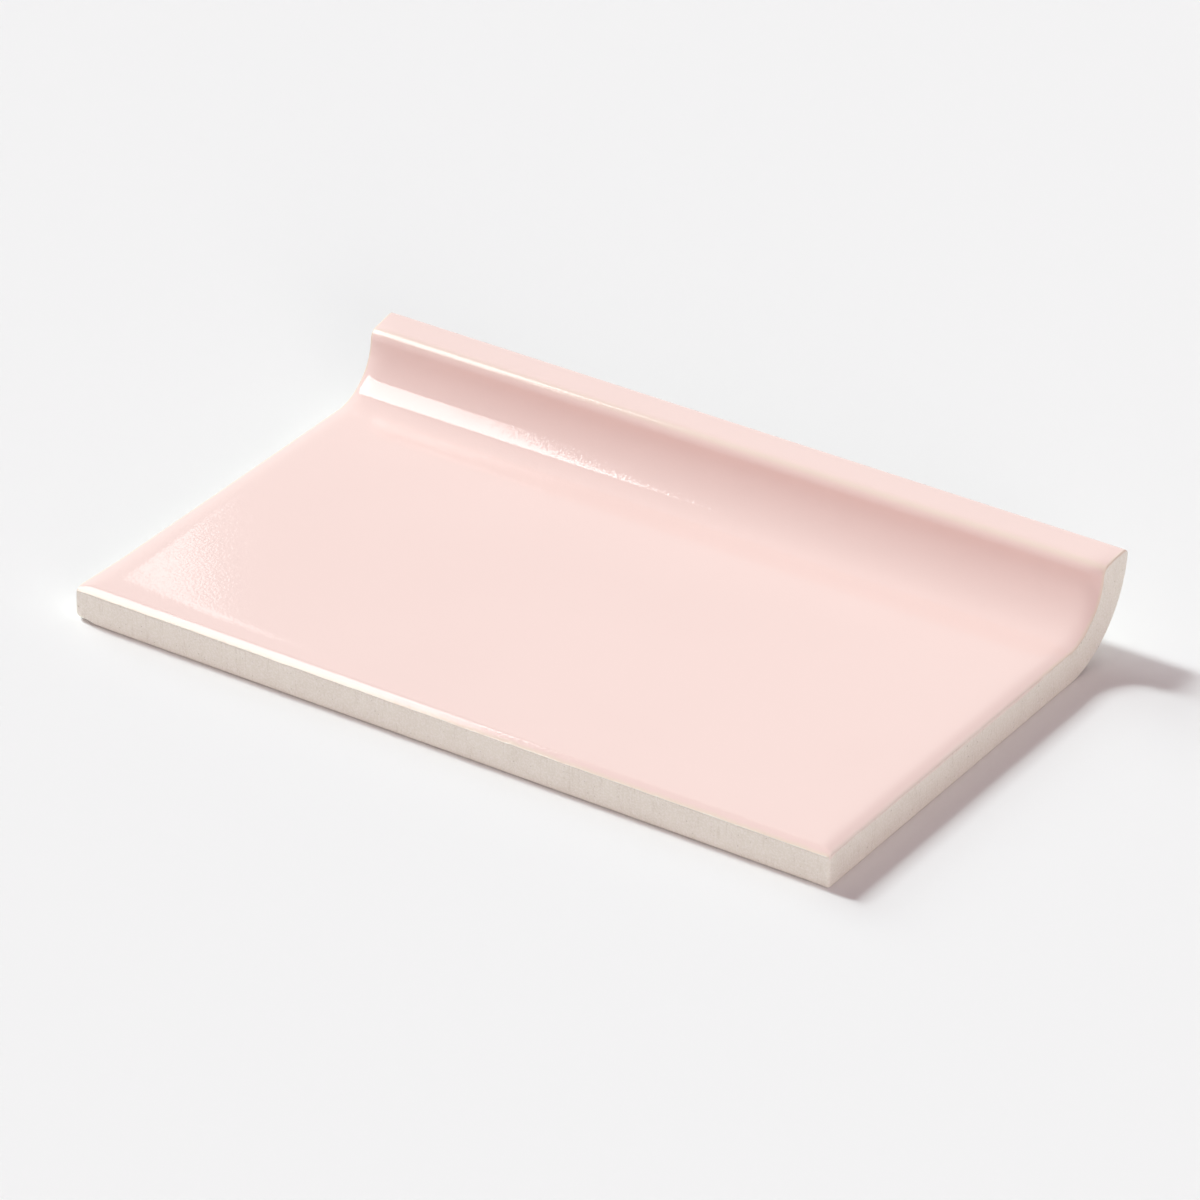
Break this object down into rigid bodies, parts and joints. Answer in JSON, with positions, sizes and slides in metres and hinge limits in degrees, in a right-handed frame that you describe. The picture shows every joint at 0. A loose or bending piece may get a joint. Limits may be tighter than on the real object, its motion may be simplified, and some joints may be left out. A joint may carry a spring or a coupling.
{
  "type": "cove base tile",
  "caption": "Glazed ceramic wall trim tile: flat body with cushioned edges and a coved toe that turns out to meet the floor",
  "frame": {"origin": "centre of the bounding box's underside: midway along the length and midway between the straight edge and the heel of the toe, on the back face", "axes": "+X along the tile's length, as it runs along the wall; +Y from the straight top edge to the toe; +Z out of the back towards the glazed face, upwards as the tile lies"},
  "size_m": [0.1524, 0.0952, 0.0182],
  "materials": {
    "glazed_body": "gloss"
  },
  "bodies": {
    "root": {"cove_tile": "glazed_body"}
  },
  "joints": []
}
